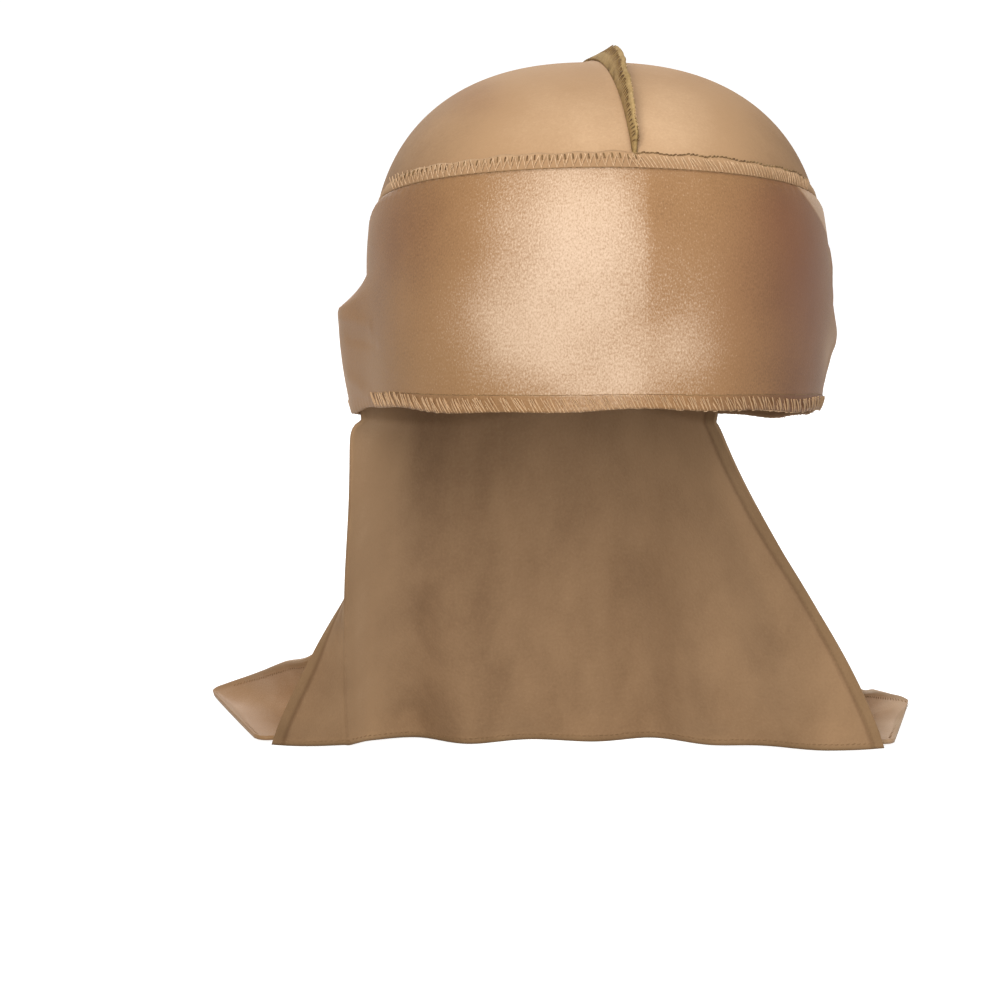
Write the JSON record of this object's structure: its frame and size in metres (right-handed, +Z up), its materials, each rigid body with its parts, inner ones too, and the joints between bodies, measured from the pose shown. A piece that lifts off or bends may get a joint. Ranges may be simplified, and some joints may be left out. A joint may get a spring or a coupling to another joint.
{
  "type": "durag",
  "caption": "Tied velvet durag in its worn form: stretched crown with an outside centre seam, wide forehead band knotted on the nape, strap ends and a hanging flap.",
  "frame": {"origin": "inside the top of the crown, at the highest point of the wearer's head", "axes": "+Z up, -Y towards the brow, +X towards the wearer's left ear"},
  "size_m": [0.2963, 0.303, 0.2785],
  "materials": {
    "velvet": "stretched tan velvet with a soft sheen",
    "velvet_back": "matte brown knitted back of the velvet",
    "overlock": "olive-brown seam allowance wrapped in overlock thread"
  },
  "bodies": {
    "root": {"crown_panel_left": "velvet", "crown_panel_right": "velvet", "centre_seam": "overlock", "band_seam": "overlock", "forehead_band": "velvet", "cape": "velvet_back", "knot": "velvet", "strap_end_left": "velvet", "strap_end_right": "velvet"}
  },
  "joints": []
}
